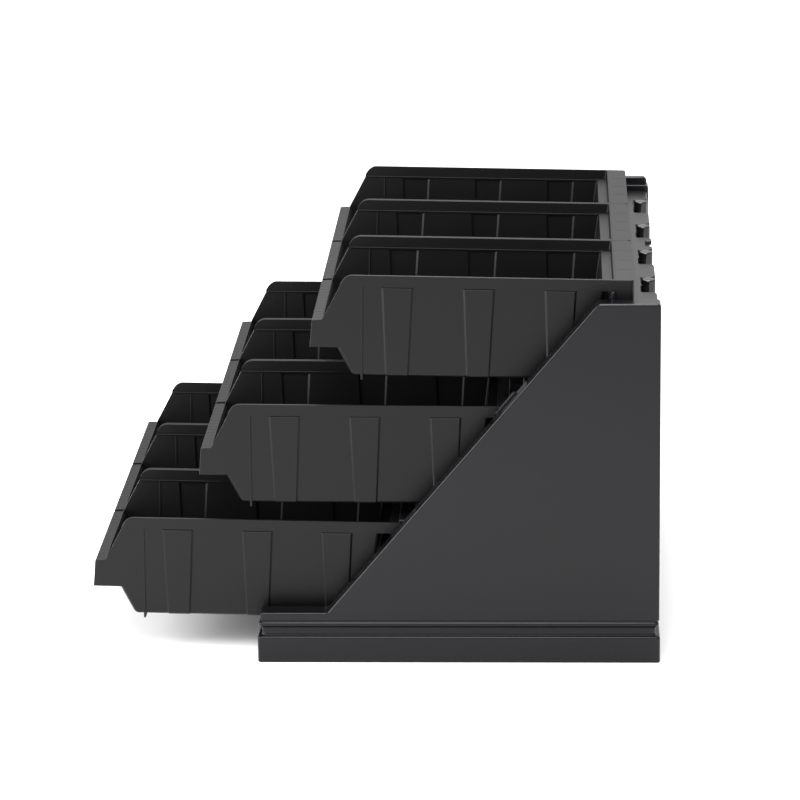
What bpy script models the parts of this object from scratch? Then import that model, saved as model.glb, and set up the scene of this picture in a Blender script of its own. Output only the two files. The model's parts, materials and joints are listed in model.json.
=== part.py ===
# Stepped bin rack: a moulded stand with two side panels and a plinth base,
# carrying nine open-fronted bins in three tiers of three.
# Metres, +Z up. +X is the stand's right side, -Y its front. Z = 0 is the counter.
import math

import bmesh
import bpy
from mathutils import Matrix, Vector

MM = 0.001
GAP = 0.3 * MM

# Stand: the overall footprint and the heights of its main levels.
BASE_DEPTH = 383 * MM
BASE_WIDTH = 512 * MM
PLINTH_HEIGHT = 41 * MM
PLINTH_FACE = 26 * MM
PLINTH_INSET = 3 * MM
PLINTH_WALL = 4 * MM
PLINTH_CEILING = 22 * MM
PLINTH_RIB = 3 * MM
TOE_HEIGHT = 48.7 * MM
TOE_LENGTH = 64 * MM
PANEL_HEIGHT = 351.5 * MM
PANEL_TOP_LENGTH = 58.5 * MM
PANEL_THICK = 20 * MM
PANEL_RADIUS = 3.5 * MM
FENCE_HEIGHT = 6.5 * MM
FENCE_THICK = 10 * MM

# Bins: one moulding, used nine times. Local origin: middle of the rear end of the rim.
BIN_PITCH = 154 * MM
BINS_ACROSS = 3
BIN_WIDTH = 153.2 * MM
BIN_WALL = 2.5 * MM
RIM_FRONT = -268 * MM
RIM_BAND = 11 * MM
RIM_PROUD = 2 * MM
SIDE_DRAFT = 0.04
FLOOR_UNDER = -98.3 * MM
FLOOR_FRONT = -259 * MM
BACK_TOP = -25.5 * MM
BACK_BOTTOM = -36 * MM
LIP_REAR = -290.5 * MM
LIP_FRONT = -300 * MM
LIP_TOP = -44 * MM
SKIRT_FOOT = -302 * MM
SKIRT_BOTTOM = -71 * MM
HOOK_FRONT = -16.6 * MM
HOOK_DEEP = 18.3 * MM
FOOT_RIB_AT = -253 * MM
FOOT_RIB_THICK = 2 * MM
FOOT_RIB_DROP = 4 * MM
PILASTERS = (-220 * MM, -144 * MM, -68 * MM)
PILASTER_TOP = 30 * MM
PILASTER_FOOT = 22 * MM
PILASTER_PROUD = 1.4 * MM

# Tiers, top first: name, height and depth of the rim's rear end, rearward tilt in degrees.
TIERS = (
    ("top", 166.2 * MM, 368.5 * MM, 1.3),
    ("middle", 57.6 * MM, 246.5 * MM, 0.6),
    ("bottom", -46.9 * MM, 131.5 * MM, 1.2),
)

# Rails and posts.
RAIL_DROP = 22.2 * MM
RAIL_THICK = 4 * MM
RAIL_REAR = 188.5 * MM
RIB_THICK = 4.4 * MM
RIB_HEIGHT = 12 * MM
APRON_DEEP = 34 * MM
NOSE_LENGTH = 9 * MM
NOSE_GAP = 0.6 * MM
NOTCH_WIDTH = 55 * MM
POST_X = (-160 * MM, -53.3 * MM, 53.3 * MM, 160 * MM)
POST_RADIUS = 6.7 * MM
POST_Y = 181.2 * MM
POST_TOP = 352 * MM
CENTRE_SLOT = (20 * MM, 6.5 * MM)
BAR_HEIGHT = 16 * MM
BAR_DEPTH = 12 * MM
BAR_SETBACK = 34 * MM
SCREW_HEAD_RADIUS = 4.2 * MM
SCREW_HEAD_THICK = 2.4 * MM
SCREW_RADIUS = 2 * MM
SCREW_LENGTH = 32 * MM
POST_SCREW_LENGTH = 11 * MM
POST_SCREW_DROP = 20 * MM
BASE_SCREW_Y = (-100 * MM, 25 * MM, 150 * MM)

# Levels and faces that follow from the sizes above.
INNER_FACE = BIN_PITCH * BINS_ACROSS / 2 + 1.6 * MM
OUTER_FACE = INNER_FACE + PANEL_THICK
RAIL_HALF = INNER_FACE - GAP
APRON_REAR = POST_Y - POST_RADIUS - GAP
APRON_FRONT = APRON_REAR - RAIL_THICK
SCREW_X = INNER_FACE + PANEL_THICK / 2
PLATE_TOP = TIERS[0][2] - RAIL_DROP
FRONT = -BASE_DEPTH / 2
REAR = BASE_DEPTH / 2
PANEL_FRONT = FRONT + PLINTH_INSET
PANEL_REAR = REAR - 0.8 * MM


def clear_scene():
    for old in list(bpy.data.objects):
        bpy.data.objects.remove(old, do_unlink=True)


def plastic(name, colour, roughness, metallic=0.0):
    material = bpy.data.materials.new(name)
    material.use_nodes = True
    shader = material.node_tree.nodes["Principled BSDF"]
    shader.inputs["Base Color"].default_value = (*colour, 1.0)
    shader.inputs["Roughness"].default_value = roughness
    shader.inputs["Metallic"].default_value = metallic
    material.diffuse_color = (*colour, 1.0)
    return material


def make_object(name, shape, material=None):
    """Turn a bmesh into an object of its own."""
    mesh = bpy.data.meshes.new(name)
    bmesh.ops.recalc_face_normals(shape, faces=shape.faces[:])
    shape.to_mesh(mesh)
    shape.free()
    obj = bpy.data.objects.new(name, mesh)
    bpy.context.scene.collection.objects.link(obj)
    if material:
        mesh.materials.append(material)
    return obj


def prism(outline, x_low, x_high, draft=0.0):
    """A (Y, Z) outline pushed from x_low to x_high; draft narrows it below Z = 0."""
    bm = bmesh.new()
    left = [bm.verts.new((x_low - draft * z, y, z)) for y, z in outline]
    right = [bm.verts.new((x_high + draft * z, y, z)) for y, z in outline]
    bm.faces.new(left)
    bm.faces.new(right[::-1])
    count = len(outline)
    for i in range(count):
        j = (i + 1) % count
        bm.faces.new((left[i], right[i], right[j], left[j]))
    return bm


def block(low, high):
    bm = bmesh.new()
    size = Vector(high) - Vector(low)
    middle = (Vector(high) + Vector(low)) / 2
    place = Matrix.Translation(middle) @ Matrix.Diagonal((*size, 1.0))
    bmesh.ops.create_cube(bm, size=1.0, matrix=place)
    return bm


def cylinder(centre, radius, depth, axis="Z", sides=24):
    bm = bmesh.new()
    turn = {"X": Matrix.Rotation(math.pi / 2, 4, "Y"), "Y": Matrix.Rotation(math.pi / 2, 4, "X")}
    place = Matrix.Translation(centre) @ turn.get(axis, Matrix.Identity(4))
    bmesh.ops.create_cone(
        bm, cap_ends=True, segments=sides, radius1=radius, radius2=radius, depth=depth, matrix=place
    )
    return bm


def combine(obj, shape, operation):
    """Join a tool shape to an object, or cut it away, and keep the result as the mesh."""
    tool = make_object("tool", shape)
    tool.hide_render = True
    tool.display_type = "WIRE"
    modifier = obj.modifiers.new(operation.lower(), "BOOLEAN")
    modifier.operation = operation
    modifier.solver = "EXACT"
    modifier.object = tool
    graph = bpy.context.evaluated_depsgraph_get()
    result = bpy.data.meshes.new_from_object(obj.evaluated_get(graph))
    obj.modifiers.clear()
    obj.data = result
    bpy.data.objects.remove(tool, do_unlink=True)


def add(obj, shape):
    combine(obj, shape, "UNION")


def cut(obj, shape):
    combine(obj, shape, "DIFFERENCE")


# Bin moulding


def half_width(z):
    return BIN_WIDTH / 2 - RIM_PROUD + SIDE_DRAFT * z


def bin_body_outline():
    return [
        (RIM_FRONT, 0),
        (LIP_REAR, LIP_TOP),
        (FLOOR_FRONT - 5.5 * MM, FLOOR_UNDER + 3.6 * MM),
        (FLOOR_FRONT, FLOOR_UNDER),
        (BACK_BOTTOM - 4 * MM, FLOOR_UNDER),
        (BACK_BOTTOM, FLOOR_UNDER + 4 * MM),
        (BACK_TOP, 0),
    ]


def bin_cavity_outline():
    wall = BIN_WALL
    above = 1 * MM
    return [
        (BACK_TOP - wall, above),
        (BACK_BOTTOM - wall, FLOOR_UNDER + 4.5 * MM),
        (BACK_BOTTOM - wall - 2 * MM, FLOOR_UNDER + wall),
        (FLOOR_FRONT + 0.6 * MM, FLOOR_UNDER + wall),
        (FLOOR_FRONT - 3 * MM, FLOOR_UNDER + wall + 2.4 * MM),
        (LIP_REAR + wall + 0.2 * MM, LIP_TOP),
        (SKIRT_FOOT, LIP_TOP),
        (SKIRT_FOOT, above),
    ]


def pilaster(centre, side):
    """A raised panel on a side wall, wide under the rim and narrow at the floor."""
    top, foot = -RIM_BAND + 1 * MM, FLOOR_UNDER + 1.2 * MM
    bm = bmesh.new()
    buried = 1.2 * MM
    corners = (
        (centre - PILASTER_TOP / 2, top),
        (centre + PILASTER_TOP / 2, top),
        (centre + PILASTER_FOOT / 2, foot),
        (centre - PILASTER_FOOT / 2, foot),
    )
    rings = []
    for depth in (-buried, PILASTER_PROUD):
        rings.append([bm.verts.new((side * (half_width(z) + depth), y, z)) for y, z in corners])
    bm.faces.new(rings[0])
    bm.faces.new(rings[1][::-1])
    for i in range(4):
        j = (i + 1) % 4
        bm.faces.new((rings[0][i], rings[1][i], rings[1][j], rings[0][j]))
    return bm


def build_bin_mesh():
    wall = BIN_WALL
    rim = BIN_WIDTH / 2
    body = make_object("bin_moulding", prism(bin_body_outline(), -half_width(0), half_width(0), SIDE_DRAFT))
    for side in (-1, 1):
        x_low, x_high = sorted((side * (half_width(0) - 1 * MM), side * rim))
        band_front = RIM_FRONT + (LIP_REAR - RIM_FRONT) * RIM_BAND / -LIP_TOP
        add(body, prism([
            (RIM_FRONT, 0),
            (band_front, -RIM_BAND),
            (BACK_TOP, -RIM_BAND),
            (BACK_TOP, 0),
        ], x_low, x_high))
        for centre in PILASTERS:
            add(body, pilaster(centre, side))
    rib_half = half_width(0) + 1.2 * MM
    add(body, prism([
        (FOOT_RIB_AT - FOOT_RIB_THICK / 2, -RIM_BAND + 1 * MM),
        (FOOT_RIB_AT - FOOT_RIB_THICK / 2, FLOOR_UNDER - FOOT_RIB_DROP),
        (FOOT_RIB_AT + FOOT_RIB_THICK / 2, FLOOR_UNDER - FOOT_RIB_DROP),
        (FOOT_RIB_AT + FOOT_RIB_THICK / 2, -RIM_BAND + 1 * MM),
    ], -rib_half, rib_half, SIDE_DRAFT))
    front_slope = (FLOOR_FRONT - 5.5 * MM - LIP_REAR) / (FLOOR_UNDER + 3.6 * MM - LIP_TOP)
    ear_foot = LIP_REAR + front_slope * (SKIRT_BOTTOM - LIP_TOP)
    add(body, prism([
        (LIP_REAR + 1 * MM, LIP_TOP),
        (LIP_FRONT, LIP_TOP - 0.6 * MM),
        (SKIRT_FOOT, SKIRT_BOTTOM),
        (ear_foot + 1 * MM, SKIRT_BOTTOM),
    ], -rim, rim))
    cut(body, prism([
        (LIP_REAR - 0.2 * MM, LIP_TOP - wall),
        (LIP_FRONT + wall, LIP_TOP - wall),
        (SKIRT_FOOT + wall, SKIRT_BOTTOM - 1 * MM),
        (ear_foot - 0.4 * MM, SKIRT_BOTTOM - 1 * MM),
    ], -rim + wall, rim - wall))
    add(body, block((-rim, BACK_TOP - 1 * MM, -wall), (rim, HOOK_FRONT + 1 * MM, 0)))
    add(body, block((-rim, HOOK_FRONT, -HOOK_DEEP), (rim, 0, 0)))
    cut(body, block(
        (-rim + wall, HOOK_FRONT + wall, -HOOK_DEEP - 1 * MM),
        (rim - wall, -wall, -wall),
    ))
    inner = half_width(0) - wall
    cut(body, prism(bin_cavity_outline(), -inner, inner, SIDE_DRAFT))
    mesh = body.data.copy()
    bpy.data.objects.remove(body, do_unlink=True)
    return mesh


def build_bins(material):
    mesh = build_bin_mesh()
    for tier, rear, height, tilt in TIERS:
        for column in range(BINS_ACROSS):
            name = f"bin_{tier}_{column + 1}"
            data = mesh.copy()
            data.name = name
            data.materials.clear()
            data.materials.append(material.copy())
            obj = bpy.data.objects.new(name, data)
            bpy.context.scene.collection.objects.link(obj)
            obj.location = ((column - (BINS_ACROSS - 1) / 2) * BIN_PITCH, rear, height)
            obj.rotation_euler = (-math.radians(tilt), 0, 0)


# Stand


def plinth_ring(bm, height, inset):
    half_x = BASE_WIDTH / 2 - inset
    half_y = BASE_DEPTH / 2 - inset
    corners = ((-half_x, -half_y), (half_x, -half_y), (half_x, half_y), (-half_x, half_y))
    return [bm.verts.new((x, y, height)) for x, y in corners]


def build_base(material):
    """The plinth: a moulded tray with a cove and bead round its upper edge."""
    levels = (
        (0, 0.6 * MM),
        (0.6 * MM, 0),
        (PLINTH_FACE - 1.2 * MM, 0),
        (PLINTH_FACE, 1.2 * MM),
        (PLINTH_FACE + 4.6 * MM, 1.4 * MM),
        (PLINTH_FACE + 6.0 * MM, 2.9 * MM),
        (PLINTH_FACE + 11.0 * MM, 3.4 * MM),
        (PLINTH_FACE + 12.6 * MM, 2.4 * MM),
        (PLINTH_HEIGHT, PLINTH_INSET),
    )
    bm = bmesh.new()
    rings = [plinth_ring(bm, height, inset) for height, inset in levels]
    bm.faces.new(rings[0][::-1])
    bm.faces.new(rings[-1])
    for lower, upper in zip(rings, rings[1:]):
        for i in range(4):
            j = (i + 1) % 4
            bm.faces.new((lower[i], lower[j], upper[j], upper[i]))
    base = make_object("base_plinth", bm, material)
    deck_front, deck_rear = bin_floor_height(2, FRONT), bin_floor_height(2, -60 * MM)
    well = INNER_FACE + GAP
    above = PLINTH_HEIGHT + 1 * MM
    cut(base, prism([
        (FRONT - 1 * MM, deck_front),
        (-60 * MM, deck_rear),
        (REAR - 22 * MM, deck_rear),
        (REAR - 22 * MM, above),
        (FRONT - 1 * MM, above),
    ], -well, well))
    wall = PLINTH_WALL
    low = (-BASE_WIDTH / 2 + wall, FRONT + wall, -1 * MM)
    high = (BASE_WIDTH / 2 - wall, REAR - wall, PLINTH_CEILING)
    cut(base, block(low, high))
    for x in (-BASE_WIDTH / 4, 0, BASE_WIDTH / 4):
        add(base, block(
            (x - PLINTH_RIB / 2, FRONT + wall / 2, 0),
            (x + PLINTH_RIB / 2, REAR - wall / 2, PLINTH_CEILING + 1 * MM),
        ))
    for x in (-SCREW_X, SCREW_X):
        for y in BASE_SCREW_Y:
            cut(base, cylinder((x, y, PLINTH_HEIGHT), SCREW_RADIUS + GAP, 60 * MM))


def bin_floor_height(tier, depth):
    """Height of the underside of a tier's bins at a depth, less the working gap."""
    _, rear, height, tilt = TIERS[tier]
    lean = math.radians(tilt)
    return height + (rear - depth) * math.tan(lean) + FLOOR_UNDER / math.cos(lean) - GAP


def panel_outline():
    return [
        (PANEL_FRONT, PLINTH_HEIGHT + GAP),
        (PANEL_REAR, PLINTH_HEIGHT + GAP),
        (PANEL_REAR, PANEL_HEIGHT),
        (PANEL_REAR - PANEL_TOP_LENGTH, PANEL_HEIGHT),
        (PANEL_FRONT + TOE_LENGTH, TOE_HEIGHT),
        (PANEL_FRONT, TOE_HEIGHT),
    ]


def build_panel(name, side, material):
    x_low, x_high = sorted((side * INNER_FACE, side * OUTER_FACE))
    panel = make_object(name, prism(panel_outline(), x_low, x_high), material)
    bevel_panel_edges(panel, side)
    if side < 0:
        add(panel, block(
            (-OUTER_FACE + 0.8 * MM, PANEL_REAR - PANEL_TOP_LENGTH + 6 * MM, PANEL_HEIGHT - 5 * MM),
            (-OUTER_FACE + FENCE_THICK, PANEL_REAR - 1.5 * MM, PANEL_HEIGHT + FENCE_HEIGHT),
        ))
    for y in BASE_SCREW_Y:
        cut(panel, cylinder((side * SCREW_X, y, PLINTH_HEIGHT), SCREW_RADIUS + GAP, 30 * MM))
    return panel


def bevel_panel_edges(panel, side):
    bm = bmesh.new()
    bm.from_mesh(panel.data)
    outer = side * OUTER_FACE
    edges = [
        e for e in bm.edges
        if all(abs(v.co.x - outer) < 1e-6 for v in e.verts)
        and not all(v.co.z < PLINTH_HEIGHT + 1 * MM for v in e.verts)
    ]
    bmesh.ops.bevel(bm, geom=edges, offset=PANEL_RADIUS, segments=3, profile=0.5,
                    affect="EDGES", material=-1, clamp_overlap=True)
    bm.to_mesh(panel.data)
    bm.free()


def build_top_rail(material):
    """The plate behind the top bins, with the rib that their rear flanges hook over."""
    rib_rear = TIERS[0][1] + HOOK_FRONT - 0.6 * MM
    rib_front = rib_rear - RIB_THICK
    apron_foot = PLATE_TOP - APRON_DEEP
    plate_under = PLATE_TOP - RAIL_THICK
    rail = make_object("top_rail", block(
        (-RAIL_HALF, rib_front, plate_under),
        (RAIL_HALF, RAIL_REAR, PLATE_TOP),
    ), material)
    add(rail, block((-RAIL_HALF, rib_front, apron_foot), (RAIL_HALF, rib_rear, PLATE_TOP + RIB_HEIGHT)))
    add(rail, block((-RAIL_HALF, APRON_FRONT, apron_foot), (RAIL_HALF, APRON_REAR, PLATE_TOP - 1 * MM)))
    for x in POST_X:
        cut(rail, block(
            (x - NOTCH_WIDTH / 2, APRON_REAR, plate_under - 1 * MM),
            (x + NOTCH_WIDTH / 2, RAIL_REAR + 1 * MM, PLATE_TOP + 1 * MM),
        ))
        cut(rail, post_screw_hole(x))
    cut(rail, block(
        (-CENTRE_SLOT[0] / 2, RAIL_REAR - CENTRE_SLOT[1], plate_under - 1 * MM),
        (CENTRE_SLOT[0] / 2, RAIL_REAR + 1 * MM, PLATE_TOP + 1 * MM),
    ))


def post_screw_hole(x):
    centre = (x, APRON_REAR, PLATE_TOP - POST_SCREW_DROP)
    return cylinder(centre, SCREW_RADIUS + GAP, 2 * POST_SCREW_LENGTH, "Y", 16)


def tier_outline(tier, outline):
    """Place a (Y, Z) outline given from the rear end of a tier's rim, leaning with its bins."""
    _, rear, height, tilt = TIERS[tier]
    lean = math.radians(tilt)
    return [
        (rear + y * math.cos(lean) + z * math.sin(lean), height - y * math.sin(lean) + z * math.cos(lean))
        for y, z in outline
    ]


def build_tier_rail(tier, material):
    """A channel open to the front: the bins' rear flanges slide in under its nose."""
    nose_top = NOSE_GAP + RAIL_THICK * 0.75
    plate_front = HOOK_FRONT - 8 * MM
    web_rear = NOSE_GAP + RAIL_THICK
    outline = tier_outline(tier, [
        (plate_front, -RAIL_DROP),
        (plate_front, -RAIL_DROP - RAIL_THICK),
        (web_rear, -RAIL_DROP - RAIL_THICK),
        (web_rear, nose_top),
        (-NOSE_LENGTH, nose_top),
        (-NOSE_LENGTH, NOSE_GAP),
        (NOSE_GAP, NOSE_GAP),
        (NOSE_GAP, -RAIL_DROP),
    ])
    make_object(f"{TIERS[tier][0]}_rail", prism(outline, -RAIL_HALF, RAIL_HALF), material)


def build_bars(material):
    """A stop bar behind the top bins, and a bar under the middle bins' rear halves."""
    stop_front = BACK_BOTTOM + GAP * 2
    stop_low = FLOOR_UNDER + 4 * MM
    stop = tier_outline(0, [
        (stop_front, stop_low),
        (stop_front + BAR_DEPTH, stop_low),
        (stop_front + BAR_DEPTH, stop_low + BAR_HEIGHT),
        (stop_front + 1.9 * MM, stop_low + BAR_HEIGHT),
    ])
    make_object("top_stop_bar", prism(stop, -RAIL_HALF, RAIL_HALF), material)
    rest_top = FLOOR_UNDER - GAP
    rest_rear = BACK_BOTTOM - BAR_SETBACK / 2
    rest = tier_outline(1, [
        (rest_rear - BAR_DEPTH, rest_top - BAR_HEIGHT),
        (rest_rear, rest_top - BAR_HEIGHT),
        (rest_rear, rest_top),
        (rest_rear - BAR_DEPTH, rest_top),
    ])
    make_object("middle_rest_bar", prism(rest, -RAIL_HALF, RAIL_HALF), material.copy())


def build_posts(material):
    foot = PLINTH_HEIGHT + GAP
    for number, x in enumerate(POST_X, 1):
        middle = (x, POST_Y, (foot + POST_TOP) / 2)
        shape = cylinder(middle, POST_RADIUS, POST_TOP - foot, "Z", 28)
        post = make_object(f"post_{number}", shape, material.copy())
        cut(post, post_screw_hole(x))


def build_screw(name, seat, turn, length, material):
    """A pan-head screw: its head sits against seat, its shank runs along the turned +Z."""
    head = cylinder((0, 0, -SCREW_HEAD_THICK / 2), SCREW_HEAD_RADIUS, SCREW_HEAD_THICK)
    screw = make_object(name, head, material)
    add(screw, cylinder((0, 0, length / 2 - 0.5 * MM), SCREW_RADIUS, length + 1 * MM, "Z", 16))
    screw.location = seat
    screw.rotation_euler = turn


def build_screws(material):
    number = 0
    for x in (-SCREW_X, SCREW_X):
        for y in BASE_SCREW_Y:
            number += 1
            seat = (x, y, PLINTH_CEILING - GAP)
            build_screw(f"base_screw_{number}", seat, (0, 0, 0), SCREW_LENGTH, material.copy())
    for number, x in enumerate(POST_X, 1):
        seat = (x, APRON_FRONT - GAP, PLATE_TOP - POST_SCREW_DROP)
        turn = (-math.pi / 2, 0, 0)
        build_screw(f"post_screw_{number}", seat, turn, POST_SCREW_LENGTH, material.copy())


clear_scene()
bin_plastic = plastic("bin_plastic", (0.032, 0.031, 0.032), 0.42)
stand_plastic = plastic("stand_plastic", (0.036, 0.036, 0.037), 0.4)
gloss_black = plastic("post_enamel", (0.02, 0.02, 0.021), 0.2)
zinc = plastic("screw_zinc", (0.5, 0.5, 0.5), 0.35, 1.0)
build_bins(bin_plastic)
build_base(stand_plastic.copy())
build_panel("side_panel_right", 1, stand_plastic.copy())
build_panel("side_panel_left", -1, stand_plastic.copy())
build_top_rail(stand_plastic.copy())
build_tier_rail(1, stand_plastic.copy())
build_tier_rail(2, stand_plastic.copy())
build_bars(stand_plastic.copy())
build_posts(gloss_black)
build_screws(zinc)
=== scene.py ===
# Looks of a stepped bin rack: a moulded black stand that carries three tiers of open-fronted bins.
import json
import math

import bmesh
import bpy
from mathutils import Matrix, Vector


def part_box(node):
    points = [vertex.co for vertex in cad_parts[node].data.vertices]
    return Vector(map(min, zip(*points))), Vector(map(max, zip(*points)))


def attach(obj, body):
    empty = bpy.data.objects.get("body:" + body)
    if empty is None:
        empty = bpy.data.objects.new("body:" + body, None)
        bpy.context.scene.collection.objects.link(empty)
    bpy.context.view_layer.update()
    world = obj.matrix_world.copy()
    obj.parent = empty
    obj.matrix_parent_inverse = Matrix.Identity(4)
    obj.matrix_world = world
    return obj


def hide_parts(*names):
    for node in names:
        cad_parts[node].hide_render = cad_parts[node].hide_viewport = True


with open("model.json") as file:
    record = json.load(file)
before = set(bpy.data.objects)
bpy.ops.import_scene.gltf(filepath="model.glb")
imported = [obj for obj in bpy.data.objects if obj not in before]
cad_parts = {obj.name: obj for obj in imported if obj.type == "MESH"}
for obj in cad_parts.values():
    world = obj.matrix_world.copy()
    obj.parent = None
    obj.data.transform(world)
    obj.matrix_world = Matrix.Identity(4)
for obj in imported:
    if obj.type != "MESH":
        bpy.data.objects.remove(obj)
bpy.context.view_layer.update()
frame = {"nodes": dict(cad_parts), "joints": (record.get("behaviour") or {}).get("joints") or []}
MM = 0.001


# Plinth: a hollow tray of black polystyrene, injection moulded with a satin, finely
# spark-eroded skin. A cove and a bead run round its upper edge, and the bottom bins
# stand on its sloping deck, between two kerbs that the side panels are screwed to.
def linear(colour):
    """An sRGB hex colour as linear RGBA."""
    parts = [int(colour[i:i + 2], 16) / 255 for i in (1, 3, 5)]
    return (*(c / 12.92 if c <= 0.04045 else ((c + 0.055) / 1.055) ** 2.4 for c in parts), 1.0)


def node(tree, kind, settings=(), values=(), links=()):
    """Adds a shader node with its settings, its input values and its incoming links."""
    made = tree.nodes.new(kind)
    for name, value in dict(settings).items():
        setattr(made, name, value)
    for name, value in dict(values).items():
        made.inputs[name].default_value = value
    for name, source in dict(links).items():
        tree.links.new(source, made.inputs[name])
    return made


FLOW_PATCH_MM = 60
SMOOTHER, ROUGHER = 0.04, 0.05


def moulded_plastic(name, dark, light, roughness, grain_mm, grain_depth_mm, specular=0.5):
    """Solid-coloured moulded plastic. The tool's spark-eroded grain breaks up the gloss, and the
    melt's slow flow shows as patches that are a shade lighter and a little rougher."""
    material = bpy.data.materials.new(name)
    material.use_nodes = True
    tree = material.node_tree
    shader = tree.nodes["Principled BSDF"]
    shader.inputs["IOR"].default_value = 1.5
    shader.inputs["Specular IOR Level"].default_value = specular
    place = node(tree, "ShaderNodeTexCoord").outputs["Object"]
    flow = node(
        tree, "ShaderNodeTexNoise", (), {"Scale": 1 / (FLOW_PATCH_MM * MM), "Detail": 3.0}, {"Vector": place},
    )
    grain = node(
        tree, "ShaderNodeTexNoise", (), {"Scale": 1 / (grain_mm * MM), "Detail": 2.0}, {"Vector": place},
    )
    shade = node(tree, "ShaderNodeMix", {"data_type": "RGBA"}, {}, {0: flow.outputs["Fac"]})
    shade.inputs[6].default_value = linear(dark)
    shade.inputs[7].default_value = linear(light)
    gloss = node(
        tree, "ShaderNodeMapRange", (), {"To Min": roughness - SMOOTHER, "To Max": roughness + ROUGHER},
        {"Value": flow.outputs["Fac"]},
    )
    skin = node(
        tree, "ShaderNodeBump", (), {"Strength": 1.0, "Distance": grain_depth_mm * MM},
        {"Height": grain.outputs["Fac"]},
    )
    tree.links.new(shade.outputs[2], shader.inputs["Base Color"])
    tree.links.new(gloss.outputs["Result"], shader.inputs["Roughness"])
    tree.links.new(skin.outputs["Normal"], shader.inputs["Normal"])
    return material


def finished(name, shape, material, body, replaced):
    """A closed bmesh becomes a piece that rides on a body and stands for CAD nodes."""
    mesh = bpy.data.meshes.new(name)
    bmesh.ops.recalc_face_normals(shape, faces=shape.faces[:])
    shape.to_mesh(mesh)
    shape.free()
    piece = bpy.data.objects.new(name, mesh)
    bpy.context.scene.collection.objects.link(piece)
    return dress(piece, material, body, replaced)


SHARP_DEGREES = 38


def dress(piece, material, body, replaced):
    """Gives a piece its material and even shading, and ties it to the frame."""
    piece.data.materials.clear()
    piece.data.materials.append(material)
    piece.data.shade_smooth()
    piece.data.set_sharp_from_angle(angle=math.radians(SHARP_DEGREES))
    even = piece.modifiers.new("even_shading", "WEIGHTED_NORMAL")
    even.keep_sharp = True
    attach(piece, body)
    if replaced:
        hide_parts(*replaced)
    return piece


def loose(name, shape):
    """A bmesh as a bare object, for cutting and joining."""
    mesh = bpy.data.meshes.new(name)
    bmesh.ops.recalc_face_normals(shape, faces=shape.faces[:])
    shape.to_mesh(mesh)
    shape.free()
    piece = bpy.data.objects.new(name, mesh)
    bpy.context.scene.collection.objects.link(piece)
    return piece


def settled(piece):
    """The piece's modifiers, applied to its mesh."""
    graph = bpy.context.evaluated_depsgraph_get()
    mesh = bpy.data.meshes.new_from_object(piece.evaluated_get(graph))
    piece.modifiers.clear()
    piece.data = mesh
    return piece


def joined(piece, other, operation="UNION"):
    """Welds another closed shape to the piece, or cuts it away."""
    weld = piece.modifiers.new("weld", "BOOLEAN")
    weld.operation = operation
    weld.solver = "EXACT"
    weld.object = other
    settled(piece)
    bpy.data.objects.remove(other, do_unlink=True)
    return piece


def slab(outline, x_low, x_high, draft=0.0):
    """A (Y, Z) outline as one face, extruded across from x_low to x_high. Draft widens it upwards."""
    shape = bmesh.new()
    face = shape.faces.new([shape.verts.new((x_low - draft * z, y, z)) for y, z in outline])
    grown = bmesh.ops.extrude_face_region(shape, geom=[face])["geom"]
    for corner in (g for g in grown if isinstance(g, bmesh.types.BMVert)):
        corner.co.x = x_high + draft * corner.co.z
    bmesh.ops.recalc_face_normals(shape, faces=shape.faces[:])
    return shape


def pushed(shape, region):
    """Extrudes a region of faces without leaving the old ones behind, and returns the new corners."""
    grown = bmesh.ops.extrude_face_region(shape, geom=region)["geom"]
    bmesh.ops.delete(shape, geom=region, context="FACES")
    return [g for g in grown if isinstance(g, bmesh.types.BMVert)]


def box_shape(low, high):
    """A box between two corners."""
    shape = bmesh.new()
    size = Vector(high) - Vector(low)
    place = Matrix.Translation((Vector(high) + Vector(low)) / 2) @ Matrix.Diagonal((*size, 1.0))
    bmesh.ops.create_cube(shape, size=1.0, matrix=place)
    return shape


def eased(shape, radius, segments=3, chosen=None, sharper=30):
    """Rounds the chosen edges, or all that are sharper than an angle in degrees."""
    edges = [
        e for e in shape.edges
        if len(e.link_faces) == 2 and (
            chosen(e) if chosen else e.calc_face_angle(0) > math.radians(sharper)
        )
    ]
    bmesh.ops.bevel(
        shape, geom=edges, offset=radius, segments=segments, profile=0.5,
        affect="EDGES", material=-1, clamp_overlap=True,
    )
    return shape


def tier_place(tier):
    """Where the rear end of a tier's rims is, and how far its bins lean back, in radians."""
    pivot = next(j for j in frame["joints"] if j["child"] == f"bin_{tier}_1")["pos_m"]
    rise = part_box(f"bin_{tier}_1")[1].z - pivot[2]
    return pivot[1], pivot[2], math.asin(rise / RIM_LENGTH)


RIM_LENGTH = 268 * MM
BIN_DEPTH = 98.3 * MM
GAP = 0.3 * MM
MERGE = 0.001 * MM
# Polystyrene from a finely eroded mould: a blue-black satin that keeps soft, clear highlights along
# its rounded edges, with a grain that only shows where the light glances off it.
stand_plastic = moulded_plastic(
    "satin_polystyrene", "#0a0a0d", "#0d0d10",
    roughness=0.25, grain_mm=0.9, grain_depth_mm=0.005, specular=0.23,
)

plinth_low, plinth_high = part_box("base_plinth")
inner_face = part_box("side_panel_right")[0].x
outer_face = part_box("side_panel_right")[1].x
PLINTH_WALL = 4 * MM
PLINTH_CEILING = 22 * MM
PLINTH_RIB = 3 * MM
CORNER_RADIUS = 3 * MM
FACE_TOP = 26 * MM
KERB_REAR = 22 * MM
CELL_RADIUS = 1.5 * MM
FOOT_CHAMFER = 0.6 * MM
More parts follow.
